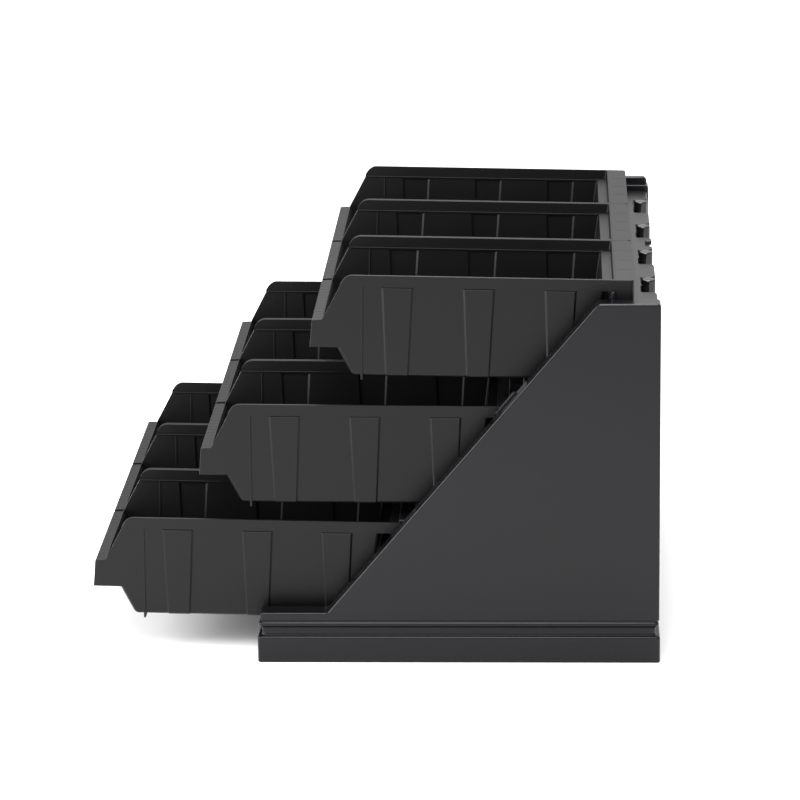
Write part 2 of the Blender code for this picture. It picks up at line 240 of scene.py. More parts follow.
# How far each level of the moulded edge stands in from the plinth's face, and its height: a rounded
# foot, the plain face rounded over at its top, a narrow shelf, a cove, one bead and the panels' seat.
EDGE_PROFILE = (
    (0.2 * MM, 0.25 * MM), (0.0, 0.8 * MM), (0.0, FACE_TOP - 2.0 * MM), (0.15 * MM, FACE_TOP - 1.2 * MM),
    (0.6 * MM, FACE_TOP - 0.5 * MM), (1.2 * MM, FACE_TOP - 0.1 * MM), (2.2 * MM, FACE_TOP),
    (3.6 * MM, FACE_TOP + 0.3 * MM), (4.3 * MM, FACE_TOP + 1.3 * MM), (4.5 * MM, FACE_TOP + 3.4 * MM),
    (4.3 * MM, FACE_TOP + 6.0 * MM), (3.6 * MM, FACE_TOP + 8.2 * MM), (2.7 * MM, FACE_TOP + 9.4 * MM),
    (1.8 * MM, FACE_TOP + 10.3 * MM), (1.3 * MM, FACE_TOP + 11.3 * MM), (1.35 * MM, FACE_TOP + 12.3 * MM),
    (1.8 * MM, FACE_TOP + 13.2 * MM), (2.5 * MM, FACE_TOP + 13.8 * MM), (3.4 * MM, FACE_TOP + 14.1 * MM),
)


def moulded_edge(half_x, half_y, levels, top):
    """A block raised level by level from its foot, so that its sides follow the moulded profile."""
    shape = bmesh.new()
    first = levels[0][0] + FOOT_CHAMFER
    bmesh.ops.create_grid(shape, x_segments=1, y_segments=1, size=1.0)
    bmesh.ops.scale(shape, vec=(half_x - first, half_y - first, 1), verts=shape.verts)
    bmesh.ops.bevel(
        shape, geom=shape.verts[:], offset=CORNER_RADIUS, segments=4, profile=0.5,
        affect="VERTICES", material=-1,
    )
    lid = shape.faces[:][0].copy()
    before, height = first, 0.0
    for inset, level in (*levels, (levels[-1][0], top)):
        rim = pushed(shape, [lid])
        shrink = ((half_x - inset) / (half_x - before), (half_y - inset) / (half_y - before), 1)
        bmesh.ops.scale(shape, vec=shrink, verts=rim)
        bmesh.ops.translate(shape, vec=(0, 0, level - height), verts=rim)
        lid = next(f for f in rim[0].link_faces if all(v in rim for v in f.verts))
        before, height = inset, level
    bmesh.ops.remove_doubles(shape, verts=shape.verts[:], dist=MERGE)
    return shape


bottom_rear, bottom_height, bottom_lean = tier_place("bottom")


def deck_height(y):
    """The underside of the bottom bins at a depth, less their working gap."""
    rim_height = bottom_height + (bottom_rear - y) * math.tan(bottom_lean)
    return rim_height - BIN_DEPTH / math.cos(bottom_lean) - GAP


plinth = loose("plinth_moulding", moulded_edge(plinth_high.x, plinth_high.y, EDGE_PROFILE, plinth_high.z))
well_half = inner_face + GAP
well_rear = plinth_high.y - KERB_REAR
deck_rear = -60 * MM
above = plinth_high.z + 5 * MM
joined(plinth, loose("well", slab([
    (plinth_low.y - MM, deck_height(plinth_low.y)), (deck_rear, deck_height(deck_rear)),
    (well_rear, deck_height(deck_rear)), (well_rear, above), (plinth_low.y - MM, above),
], -well_half, well_half)), "DIFFERENCE")
cell_end = plinth_high.x - PLINTH_WALL
cell_edges = [-cell_end, -plinth_high.x / 2, 0, plinth_high.x / 2, cell_end]
for low_x, high_x in zip(cell_edges, cell_edges[1:]):
    rib = PLINTH_RIB / 2
    hollow = box_shape(
        (low_x + rib * (low_x > -cell_end), plinth_low.y + PLINTH_WALL, -MM),
        (high_x - rib * (high_x < cell_end), plinth_high.y - PLINTH_WALL, PLINTH_CEILING),
    )
    joined(plinth, loose("cell", eased(hollow, CELL_RADIUS, 2)), "DIFFERENCE")
dress(plinth, stand_plastic, "stand", ["base_plinth"])


# Side panels: thick moulded boards with a sloping front edge and a short toe, in the same
# satin polystyrene. Their outer edges are rounded, and the left one has a low raised edge on top.
panel_low, panel_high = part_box("side_panel_right")
TOE_HEIGHT = 48.7 * MM
TOE_LENGTH = 64 * MM
PANEL_TOP = 58.5 * MM
OUTER_RADIUS = 3.8 * MM
INNER_RADIUS = 0.8 * MM
# The rounding of the outline's corners: toe's tip, toe's root, top of the slope, top at the rear.
OUTLINE_RADII = (2.0 * MM, 1.5 * MM, 3.0 * MM, 3.5 * MM)
PAD_HEIGHT = 251 * MM
PAD_LENGTH, PAD_WIDTH, PAD_PROUD = 28 * MM, 4.5 * MM, 2.4 * MM
PAD_SUNK, PAD_SET_OFF, PAD_RADIUS = 2 * MM, 0.1 * MM, 0.7 * MM
FENCE_OUTER, FENCE_INNER = 1.3 * MM, 10 * MM
FENCE_FRONT, FENCE_REAR, FENCE_SUNK = 6 * MM, 1.7 * MM, 6 * MM
FENCE_BACK_RADIUS, FENCE_RADIUS = 4.5 * MM, 1.2 * MM
TOUCH = 0.01 * MM


def side_board(side):
    """One panel: its outline with rounded corners, pushed out to the board's thickness."""
    front, rear, foot = panel_low.y, panel_high.y, panel_low.z
    shape = bmesh.new()
    outline = (
        (front, foot), (rear, foot), (rear, panel_high.z), (rear - PANEL_TOP, panel_high.z),
        (front + TOE_LENGTH, TOE_HEIGHT), (front, TOE_HEIGHT),
    )
    corners = [shape.verts.new((side * inner_face, y, z)) for y, z in outline]
    shape.faces.new(corners)
    for corner, radius in zip(reversed(corners[2:]), OUTLINE_RADII):
        bmesh.ops.bevel(
            shape, geom=[corner], offset=radius, segments=5, profile=0.5, affect="VERTICES", material=-1,
        )
    face = shape.faces[:][0]
    grown = bmesh.ops.extrude_face_region(shape, geom=[face], use_keep_orig=True)["geom"]
    far = [g for g in grown if isinstance(g, bmesh.types.BMVert)]
    bmesh.ops.translate(shape, vec=(side * (outer_face - inner_face), 0, 0), verts=far)
    bmesh.ops.recalc_face_normals(shape, faces=shape.faces[:])
    for x, radius, steps in ((outer_face, OUTER_RADIUS, 6), (inner_face, INNER_RADIUS, 3)):
        def rounded(edge):
            """The board's edges on one face, all but the one it stands on."""
            return all(abs(abs(v.co.x) - x) < TOUCH for v in edge.verts) and (
                all(v.co.z > foot + TOUCH for v in edge.verts)
                or abs(edge.verts[0].co.z - edge.verts[1].co.z) > MM
            )
        eased(shape, radius, steps, rounded)
    return shape


def slope_pad(side):
    """A small raised pad on the inner edge of the slope, at the height of the middle bins."""
    foot = Vector((0, panel_low.y + TOE_LENGTH, TOE_HEIGHT))
    along = (Vector((0, panel_high.y - PANEL_TOP, panel_high.z)) - foot).normalized()
    out = Vector((0, -along.z, along.y))
    start = foot + along * ((PAD_HEIGHT - TOE_HEIGHT) / along.z)
    shape = box_shape((0, -PAD_LENGTH / 2, -PAD_SUNK), (PAD_WIDTH, PAD_LENGTH / 2, PAD_PROUD))
    eased(shape, PAD_RADIUS, 3)
    turn = Matrix((
        (side, 0, 0, side * (inner_face + PAD_SET_OFF)), (0, along.y, out.y, start.y),
        (0, along.z, out.z, start.z), (0, 0, 0, 1),
    ))
    shape.transform(turn)
    bmesh.ops.recalc_face_normals(shape, faces=shape.faces[:])
    return shape


def fence():
    """The raised edge on top of the left board, well rounded at its rear end."""
    rear = panel_high.y - FENCE_REAR
    shape = box_shape(
        (-outer_face + FENCE_OUTER, panel_high.y - PANEL_TOP + FENCE_FRONT, panel_high.z - FENCE_SUNK),
        (-outer_face + FENCE_INNER, rear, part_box("side_panel_left")[1].z),
    )
    eased(shape, FENCE_BACK_RADIUS, 6, lambda e: all(
        v.co.z > panel_high.z and v.co.y > rear - MM for v in e.verts
    ) and abs(e.verts[0].co.x - e.verts[1].co.x) > MM)
    return eased(shape, FENCE_RADIUS, 4)


for name, side in (("side_panel_right", 1), ("side_panel_left", -1)):
    panel = loose(f"{name}_board", side_board(side))
    if side < 0:
        joined(panel, loose("fence", fence()))
    joined(panel, loose("pad", slope_pad(side)))
    dress(panel, stand_plastic, "stand", [name])


# Top rail: a moulded plate across the stand, on an upright rib that the top bins hook over and an
# apron that the posts are screwed to. Its rear edge has a notch for each post and a small slot.
rail_low, rail_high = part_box("top_rail")
PLATE_THICK = 4 * MM
RIB_THICK = 4.4 * MM
RIB_HEIGHT = 12 * MM
NOTCH_WIDTH = 55 * MM
SLOT_WIDTH, SLOT_DEPTH = 20 * MM, 6.5 * MM
LOBE_RADIUS, SLOT_RADIUS, NOTCH_RADIUS = 6.0 * MM, 2.0 * MM, 1.5 * MM
PLATE_EDGE, RIB_EDGE, APRON_EDGE = 1.3 * MM, 1.8 * MM, 0.8 * MM
POST_COUNT = 4
post_boxes = [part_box(f"post_{number}") for number in range(1, POST_COUNT + 1)]
post_radius = (post_boxes[0][1].x - post_boxes[0][0].x) / 2
post_x = [(low.x + high.x) / 2 for low, high in post_boxes]
post_y = (post_boxes[0][0].y + post_boxes[0][1].y) / 2
apron_rear = post_y - post_radius - GAP
plate_top = rail_high.z - RIB_HEIGHT


def rail_plate():
    """The plate's plan, with notches and slot, rounded at every corner and pushed down to thickness."""
    shape = bmesh.new()
    plan = [(-rail_high.x, rail_low.y), (-rail_high.x, rail_high.y)]
    cuts = [(x, NOTCH_WIDTH / 2, apron_rear) for x in post_x]
    cuts.insert(POST_COUNT // 2, (0, SLOT_WIDTH / 2, rail_high.y - SLOT_DEPTH))
    for x, half, depth in cuts:
        plan += [(x - half, rail_high.y), (x - half, depth), (x + half, depth), (x + half, rail_high.y)]
    plan += [(rail_high.x, rail_high.y), (rail_high.x, rail_low.y)]
    corners = [shape.verts.new((x, y, plate_top)) for x, y in plan]
    shape.faces.new(corners)
    for corner in corners:
        lobe = corner.co.y > rail_high.y - TOUCH
        near_slot = abs(corner.co.x) < SLOT_WIDTH
        radius = (SLOT_RADIUS if near_slot else LOBE_RADIUS) if lobe else NOTCH_RADIUS
        bmesh.ops.bevel(
            shape, geom=[corner], offset=radius, segments=5, profile=0.5, affect="VERTICES", material=-1,
        )
    grown = bmesh.ops.extrude_face_region(shape, geom=shape.faces[:], use_keep_orig=True)["geom"]
    under = [g for g in grown if isinstance(g, bmesh.types.BMVert)]
    bmesh.ops.translate(shape, vec=(0, 0, -PLATE_THICK), verts=under)
    bmesh.ops.recalc_face_normals(shape, faces=shape.faces[:])
    return eased(shape, PLATE_EDGE, 4, lambda e: all(v.co.z > plate_top - TOUCH for v in e.verts))


rail = loose("rail_plate", rail_plate())
rib_rear = rail_low.y + RIB_THICK
upright = box_shape((-rail_high.x, rail_low.y, rail_low.z), (rail_high.x, rib_rear, rail_high.z))
joined(rail, loose("rib", eased(upright, RIB_EDGE, 5)))
apron = box_shape(
    (-rail_high.x, apron_rear - PLATE_THICK, rail_low.z), (rail_high.x, apron_rear, plate_top - MM),
)
joined(rail, loose("apron", eased(apron, APRON_EDGE, 3)))
dress(rail, stand_plastic, "stand", ["top_rail"])


# Lower rails and bars: moulded lengths snapped between the side panels, out of sight behind
# and under the bins. Each keeps its own plain section, with its edges eased by the tool.
BAR_EDGE = 0.8 * MM
FLAT_DEGREES = 1


def eased_copy(name, radius):
    """A frame node's shape with its triangles merged into faces and its edges rounded."""
    shape = bmesh.new()
    shape.from_mesh(frame["nodes"][name].data)
    bmesh.ops.remove_doubles(shape, verts=shape.verts[:], dist=TOUCH)
    bmesh.ops.dissolve_limit(
        shape, angle_limit=math.radians(FLAT_DEGREES), verts=shape.verts[:], edges=shape.edges[:],
    )
    return eased(shape, radius, 3)


for name in ("middle_rail", "bottom_rail", "top_stop_bar", "middle_rest_bar"):
    finished(f"{name}_moulding", eased_copy(name, BAR_EDGE), stand_plastic, "stand", [name])


# Posts: four steel rods, dipped in gloss black enamel, that stand on the plinth's rear kerb and
# hold up the top rail. Their ends are turned to a rounded edge and the slightest dome.
# Dipped enamel flows as a melt does: its sags show as the same slow patches, and a shallow orange
# peel takes the place of a mould's grain, under a wet, nearly mirror-bright gloss.
post_enamel = moulded_plastic(
    "gloss_enamel", "#0d0d0e", "#131314", roughness=0.16, grain_mm=6.0, grain_depth_mm=0.004,
)
POST_EDGE, POST_FOOT_EDGE = 1.5 * MM, 0.5 * MM
POST_END, END_DOME = 0.3 * MM, 0.25 * MM
POST_SIDES = 48


def turned(profile, sides):
    """A profile of (radius, height) points spun into a closed round shape about Z."""
    shape = bmesh.new()
    chain = [shape.verts.new((radius, 0, height)) for radius, height in profile]
    edges = [shape.edges.new(pair) for pair in zip(chain, chain[1:])]
    bmesh.ops.spin(
        shape, geom=chain + edges, cent=(0, 0, 0), axis=(0, 0, 1), dvec=(0, 0, 0),
        angle=math.tau, steps=sides, use_merge=True,
    )
    bmesh.ops.remove_doubles(shape, verts=shape.verts[:], dist=MERGE)
    bmesh.ops.recalc_face_normals(shape, faces=shape.faces[:])
    return shape


def rounded_end(radius, edge, height, up, steps=5):
    """Points of a rod's end: round the edge and in to the axis."""
    sign = 1 if up else -1
    arc = [math.pi / 2 * i / steps for i in range(steps + 1)]
    points = [(radius - edge + edge * math.cos(a), height + sign * edge * (math.sin(a) - 1)) for a in arc]
    return [*points, (0.0, height + sign * END_DOME)]


for number, (low, high) in enumerate(post_boxes, 1):
    foot = rounded_end(post_radius, POST_FOOT_EDGE, low.z + POST_END, False, 2)[::-1]
    crown = rounded_end(post_radius, POST_EDGE, high.z - POST_END, True)
    rod = turned(foot + crown, POST_SIDES)
    bmesh.ops.translate(rod, vec=(post_x[number - 1], post_y, 0), verts=rod.verts)
    finished(f"post_{number}_rod", rod, post_enamel, "stand", [f"post_{number}"])


# Screws: zinc-plated steel, pan headed with a cross recess. Six hold the plinth to the side
# panels from below, and four hold the apron to the posts.
PLATING_ROUGHER = 0.15


def plated_steel(name, dark, light, roughness, mottle_mm):
    """Bright zinc over steel: a grey metal whose plating gives soft, slightly mottled reflections."""
    material = bpy.data.materials.new(name)
    material.use_nodes = True
    tree = material.node_tree
    shader = tree.nodes["Principled BSDF"]
    shader.inputs["Metallic"].default_value = 1.0
    place = node(tree, "ShaderNodeTexCoord").outputs["Object"]
    bloom = node(
        tree, "ShaderNodeTexNoise", (), {"Scale": 1 / (mottle_mm * MM), "Detail": 4.0}, {"Vector": place},
    )
    shade = node(tree, "ShaderNodeMix", {"data_type": "RGBA"}, {}, {0: bloom.outputs["Fac"]})
    shade.inputs[6].default_value = linear(dark)
    shade.inputs[7].default_value = linear(light)
    gloss = node(
        tree, "ShaderNodeMapRange", (), {"To Min": roughness, "To Max": roughness + PLATING_ROUGHER},
        {"Value": bloom.outputs["Fac"]},
    )
    tree.links.new(shade.outputs[2], shader.inputs["Base Color"])
    tree.links.new(gloss.outputs["Result"], shader.inputs["Roughness"])
    return material


screw_zinc = plated_steel("zinc_plate", "#9a9da2", "#b9bcc0", roughness=0.28, mottle_mm=2.5)
HEAD_RADIUS, HEAD_THICK = 4.2 * MM, 2.4 * MM
HEAD_EDGE_SHARE = 0.35
SHANK_RADIUS = 2 * MM
THREAD_PITCH, THREAD_DEPTH = 1.4 * MM, 0.35 * MM
THREAD_END, TIP_LENGTH = 4 * MM, 2.6 * MM
SCREW_SIDES = 24
RECESS_LENGTH, RECESS_WIDTH, RECESS_DEPTH = 4.6 * MM, 1.0 * MM, 1.4 * MM


def pan_screw(length):
    """A screw standing on its head along +Z: domed head, threaded shank, pointed tip."""
    dome = [
        (HEAD_RADIUS * math.sin(a), -HEAD_THICK * (HEAD_EDGE_SHARE + (1 - HEAD_EDGE_SHARE) * math.cos(a)))
        for a in (math.pi / 2 * i / 6 for i in range(7))
    ]
    core = SHANK_RADIUS - THREAD_DEPTH
    thread = []
    for turn in range(int((length - THREAD_END) / THREAD_PITCH)):
        height = MM + turn * THREAD_PITCH
        thread += [(core, height), (SHANK_RADIUS, height + THREAD_PITCH / 2)]
    tip = [(core, length - TIP_LENGTH), (0.0, length)]
    screw = loose("screw", turned([*dome, (HEAD_RADIUS, 0.0), *thread, *tip], SCREW_SIDES))
    for across, along in ((RECESS_LENGTH, RECESS_WIDTH), (RECESS_WIDTH, RECESS_LENGTH)):
        slot = box_shape(
            (-across / 2, -along / 2, -HEAD_THICK - MM), (across / 2, along / 2, -HEAD_THICK + RECESS_DEPTH),
        )
        joined(screw, loose("recess", slot), "DIFFERENCE")
    return screw


def placed_copy(master, name, place):
    """A master shape's mesh, moved into place."""
    mesh = master.data.copy()
    mesh.name = name
    mesh.transform(place)
    piece = bpy.data.objects.new(name, mesh)
    bpy.context.scene.collection.objects.link(piece)
    return piece


standing, laid_back = Matrix.Identity(4), Matrix.Rotation(-math.pi / 2, 4, "X")
for kind, count, turn in (("base", 6, standing), ("post", POST_COUNT, laid_back)):
    low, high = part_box(f"{kind}_screw_1")
    master = pan_screw(max(high - low) - HEAD_THICK)
    for number in range(1, count + 1):
        name = f"{kind}_screw_{number}"
        low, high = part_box(name)
        middle = (low + high) / 2
        if kind == "base":
            seat = Vector((middle.x, middle.y, low.z + HEAD_THICK))
        else:
            seat = Vector((middle.x, low.y + HEAD_THICK, middle.z))
        screw = placed_copy(master, f"{name}_turned", Matrix.Translation(seat) @ turn)
        dress(screw, screw_zinc, "stand", [name])
    bpy.data.objects.remove(master, do_unlink=True)


# Bins: one moulding in matte black polypropylene, used nine times. Each has a low open front with a
# hanging lip, thin drafted walls with hollow pilasters, a foot rib, and a box flange to hang it by.
# Polypropylene keeps a waxy, near-black matte: highlights are broad and dim, and the mould's coarse
# erosion blurs them further.
bin_plastic = moulded_plastic(
    "matte_polypropylene", "#060505", "#080707",
    roughness=0.42, grain_mm=0.8, grain_depth_mm=0.015, specular=0.22,
)
bin_low, bin_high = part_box("bin_top_2")
RIM_HALF = (bin_high.x - bin_low.x) / 2
RIM_STEP = 0.8 * MM
RIM_BAND = 11 * MM
RIM_FRONT = Vector((0, -RIM_LENGTH, 0))
RIM_CORNER_RADIUS, RIM_RADIUS, EDGE_RADIUS = 5.5 * MM, 1.15 * MM, 0.6 * MM
DRAFT = 0.04
WALL = 2.5 * MM
FRONT_RADIUS, BACK_RADIUS, FLOOR_RADIUS = 5 * MM, 4.5 * MM, 4 * MM
LIP_REAR, LIP_TOP = -290.5 * MM, -44 * MM
LIP_FRONT, SKIRT_FOOT, SKIRT_BOTTOM = -300 * MM, -302 * MM, -71 * MM
LIP_SUNK, LIP_FALL, LIP_EAR, LIP_OVERLAP = 1.2 * MM, 0.6 * MM, 7 * MM, 0.05 * MM
LIP_INSIDE, LIP_BEHIND, LIP_CLEAR, LIP_RADIUS = 1 * MM, 1.6 * MM, 40 * MM, 0.7 * MM
FRONT_LEAN = 0.513
BACK_TOP, BACK_LEAN = -25.5 * MM, 0.111
FLANGE_FRONT, FLANGE_DEEP, FLANGE_CHEEK = -16.6 * MM, 18.3 * MM, 7 * MM
FLANGE_CORNER, FLANGE_RADIUS = 4 * MM, 0.8 * MM
FLANGE_GROOVES = (-36 * MM, 0.0, 36 * MM)
GROOVE_HALF, GROOVE_DEEP, GROOVE_FRONT, GROOVE_REAR = 1 * MM, 0.8 * MM, 1.8 * MM, 2.2 * MM
FOOT_RIB_AT, FOOT_RIB_THICK, FOOT_RIB_DROP = -253 * MM, 2 * MM, 4 * MM
FOOT_RIB_PROUD, FOOT_RIB_ROOT, FOOT_RIB_RADIUS = 0.8 * MM, 0.5 * MM, 0.5 * MM
PILASTERS = (-220 * MM, -144 * MM, -68 * MM)
PILASTER_TOP, PILASTER_FOOT, PILASTER_PROUD = 30 * MM, 22 * MM, 1.3 * MM
PILASTER_BELOW, PILASTER_CHAMFER, PILASTER_NARROWS = 0.4 * MM, 1 * MM, 0.87
LIP_RIB_PITCH, LIP_RIB_LENGTH, LIP_RIB_THICK = 10.2 * MM, 7.6 * MM, 0.9 * MM
LIP_RIB_BELOW, LIP_RIB_TILT = 0.65 * MM, 0.06
LEDGE_WIDTH, LEDGE_ROOT, LEDGE_RADIUS = 1.1 * MM, 1 * MM, 0.45 * MM
LEDGE_BELOW, LEDGE_ABOVE, LEDGE_FRONT, LEDGE_REAR = 0.6 * MM, 1.2 * MM, 4.6 * MM, 2 * MM
# A face whose normal has more than this along X is part of a side wall.
SIDEWAYS = 0.1


def half_width(z):
    """Half the outer width of the drafted walls at a height below the rim."""
    return RIM_HALF - RIM_STEP + DRAFT * z


def front_wall(z):
    """Depth of the front wall's outer face at a height."""
    return LIP_REAR - FRONT_LEAN * (z - LIP_TOP)


def cut_across(shape, faces, point, normal):
    """Scores the given faces along a plane."""
    edges = {e for f in faces for e in f.edges}
    corners = {v for f in faces for v in f.verts}
    bmesh.ops.bisect_plane(
        shape, geom=[*faces, *edges, *corners], plane_co=point, plane_no=normal, dist=MERGE,
    )


def tub_skin():
    """The outer skin of the tub: a tapered box, open at the top and cut away at the front."""
    shape = bmesh.new()
    front, back = front_wall(0), BACK_TOP
    plan = [(-1, front), (1, front), (1, back), (-1, back)]
    corners = [shape.verts.new((side * half_width(0), y, 0)) for side, y in plan]
    shape.faces.new(corners)
    for corner, radius in zip(corners, (FRONT_RADIUS, FRONT_RADIUS, BACK_RADIUS, BACK_RADIUS)):
        bmesh.ops.bevel(
            shape, geom=[corner], offset=radius, segments=6, profile=0.5, affect="VERTICES", material=-1,
        )
    top = shape.faces[:][0]
    grown = bmesh.ops.extrude_face_region(shape, geom=[top], use_keep_orig=True)["geom"]
    bottom = [g for g in grown if isinstance(g, bmesh.types.BMVert)]
    floor_front, floor_back = front_wall(-BIN_DEPTH), BACK_TOP - BACK_LEAN * BIN_DEPTH
    for corner in bottom:
        share = (corner.co.y - front) / (back - front)
        corner.co = (
            corner.co.x * half_width(-BIN_DEPTH) / half_width(0),
            floor_front + share * (floor_back - floor_front),
            -BIN_DEPTH,
        )
    mouth = [f for f in shape.faces if all(v.co.z > -MM for v in f.verts)]
    bmesh.ops.delete(shape, geom=mouth, context="FACES_ONLY")
    eased(shape, FLOOR_RADIUS, 4, lambda e: all(v.co.z < -BIN_DEPTH + TOUCH for v in e.verts))
    slope = Vector((0, LIP_TOP, -(LIP_REAR + RIM_LENGTH))).normalized()
    bmesh.ops.bisect_plane(
        shape, geom=shape.verts[:] + shape.edges[:] + shape.faces[:], dist=MERGE,
        plane_co=RIM_FRONT, plane_no=slope, clear_outer=True,
    )
    # The front wall's top edge is let down into the lip that is welded over it.
    for corner in shape.verts:
        if abs(corner.co.z - LIP_TOP) < 0.2 * MM and corner.co.y < RIM_FRONT.y:
            corner.co += Vector((0, FRONT_LEAN, -1)) * LIP_SUNK
    return shape, slope


def raise_band(shape, slope):
    """Sets the rim band out from the walls, and far back over the rear shelf."""
    near = 8 * MM
    cut_across(shape, shape.faces[:], (0, 0, -RIM_BAND), (0, 0, 1))
    band = [f for f in shape.faces if f.calc_center_median().z > -RIM_BAND]
    moved = pushed(shape, band)
    edge_faces = [
        f for f in shape.faces
        if all(v.co.z > -TOUCH for v in f.verts)
        or all(abs((v.co - RIM_FRONT).dot(slope)) < TOUCH for v in f.verts)
    ]
    bmesh.ops.delete(shape, geom=edge_faces, context="FACES")
    for corner in moved:
        if abs(corner.co.x) > half_width(0) - near:
            corner.co.x += math.copysign(RIM_STEP, corner.co.x)
        if corner.co.y > BACK_TOP - near:
            corner.co.y += FLANGE_FRONT - BACK_TOP


def raise_pilasters(shape):
    """Pushes three tapering pilasters out of each side wall, down round the foot's radius."""
    top = -RIM_BAND - PILASTER_BELOW

    def walls_below(height):
        return [f for f in shape.faces if abs(f.normal.x) > SIDEWAYS and f.calc_center_median().z < height]

    cut_across(shape, walls_below(-RIM_BAND), (0, 0, top), (0, 0, 1))
    taper = (PILASTER_TOP - PILASTER_FOOT) / 2
    for centre in PILASTERS:
        for edge in (-1, 1):
            walls = walls_below(top)
            start = (0, centre + edge * PILASTER_TOP / 2, top)
            cut_across(shape, walls, start, Vector((0, BIN_DEPTH + top, -edge * taper)).normalized())
    for centre in PILASTERS:
        for side in (-1, 1):
            def covers(face):
                middle = face.calc_center_median()
                share = (top - middle.z) / (BIN_DEPTH + top)
                return (
                    middle.x * side > 0 and abs(face.normal.x) > SIDEWAYS and middle.z < top
                    and abs(middle.y - centre) < PILASTER_TOP / 2 - taper * share
                )
            for corner in pushed(shape, [f for f in shape.faces if covers(f)]):
                if corner.co.z > top - TOUCH:
                    corner.co.z -= PILASTER_CHAMFER
                corner.co.x += side * PILASTER_PROUD
                corner.co.y = centre + (corner.co.y - centre) * PILASTER_NARROWS


def tub():
    """The skin thickened to its wall, with the rim's front corners and all edges rounded."""
    shape, slope = tub_skin()
    raise_band(shape, slope)
    raise_pilasters(shape)
    bmesh.ops.recalc_face_normals(shape, faces=shape.faces[:])
    floor = min(shape.faces, key=lambda f: f.calc_center_median().z)
    if floor.normal.z > 0:
        bmesh.ops.reverse_faces(shape, faces=shape.faces[:])
    mesh = bpy.data.meshes.new("tub")
    shape.to_mesh(mesh)
    shape.free()
    piece = bpy.data.objects.new("tub", mesh)
    bpy.context.scene.collection.objects.link(piece)
    thicken = piece.modifiers.new("wall", "SOLIDIFY")
    thicken.thickness = WALL
    thicken.offset = -1
    thicken.use_even_offset = True
    thicken.use_quality_normals = True
    settled(piece)
    shape = bmesh.new()
    shape.from_mesh(piece.data)
    eased(shape, RIM_CORNER_RADIUS, 5, lambda e: all(
        abs(v.co.z) < 1.5 * MM and abs(v.co.y + RIM_LENGTH) < 1.5 * MM for v in e.verts
    ) and abs(e.verts[0].co.x - e.verts[1].co.x) > WALL / 2)
    eased(shape, RIM_RADIUS, 4, lambda e: e.calc_face_angle(0) > math.radians(50) and all(
        abs(v.co.z) < 0.1 * MM or abs((v.co - RIM_FRONT).dot(slope)) < 0.1 * MM for v in e.verts
    ))
    eased(shape, EDGE_RADIUS, 3)
    shape.to_mesh(piece.data)
    shape.free()
    return piece


def edges_eased(piece, radius, segments=3, chosen=None):
    """Rounds a piece's sharp edges in place."""
    shape = bmesh.new()
    shape.from_mesh(piece.data)
    eased(shape, radius, segments, chosen)
    shape.to_mesh(piece.data)
    shape.free()
    return piece


def front_lip():
    """The lip and its hanging skirt, open below, with an ear at each end that runs on into the wall."""
    half = half_width(0) + LIP_OVERLAP
    behind, below = LIP_REAR + LIP_BEHIND, SKIRT_BOTTOM - MM
    off_wall = 0.2 * MM
    lip = loose("lip", slab([
        (LIP_REAR + LIP_EAR * FRONT_LEAN, LIP_TOP + LIP_EAR), (LIP_REAR, LIP_TOP),
        (LIP_FRONT, LIP_TOP - LIP_FALL), (SKIRT_FOOT, SKIRT_BOTTOM),
        (front_wall(SKIRT_BOTTOM) + LIP_EAR, SKIRT_BOTTOM), (LIP_REAR + 2 * LIP_EAR, LIP_TOP + LIP_EAR),
    ], -half, half, DRAFT))
    joined(lip, loose("opening", slab([
        (behind, 0), (behind, LIP_TOP), (front_wall(below) + LIP_INSIDE, below),
        (front_wall(SKIRT_BOTTOM) + LIP_CLEAR, below), (LIP_REAR + LIP_CLEAR, 0),
    ], -half + WALL, half - WALL, DRAFT)), "DIFFERENCE")
    joined(lip, loose("hollow", slab([
        (front_wall(LIP_TOP - WALL) - off_wall, LIP_TOP - WALL), (LIP_FRONT + WALL, LIP_TOP - WALL),
        (SKIRT_FOOT + WALL, below), (front_wall(SKIRT_BOTTOM) - off_wall, below),
    ], -half + WALL, half - WALL, DRAFT)), "DIFFERENCE")
    edges_eased(lip, LIP_RADIUS)
    ribs = bmesh.new()
    count = int(RIM_HALF / LIP_RIB_PITCH)
    for number in range(-count, count + 1):
        middle = Vector((number * LIP_RIB_PITCH, (LIP_FRONT + LIP_REAR) / 2, LIP_TOP - LIP_RIB_BELOW))
        size = Matrix.Diagonal((LIP_RIB_PITCH / 2, LIP_RIB_LENGTH, LIP_RIB_THICK, 1.0))
        tilt = Matrix.Rotation(LIP_RIB_TILT, 4, "X")
        bmesh.ops.create_cube(ribs, size=1.0, matrix=Matrix.Translation(middle) @ tilt @ size)
    return joined(lip, loose("ribs", ribs))


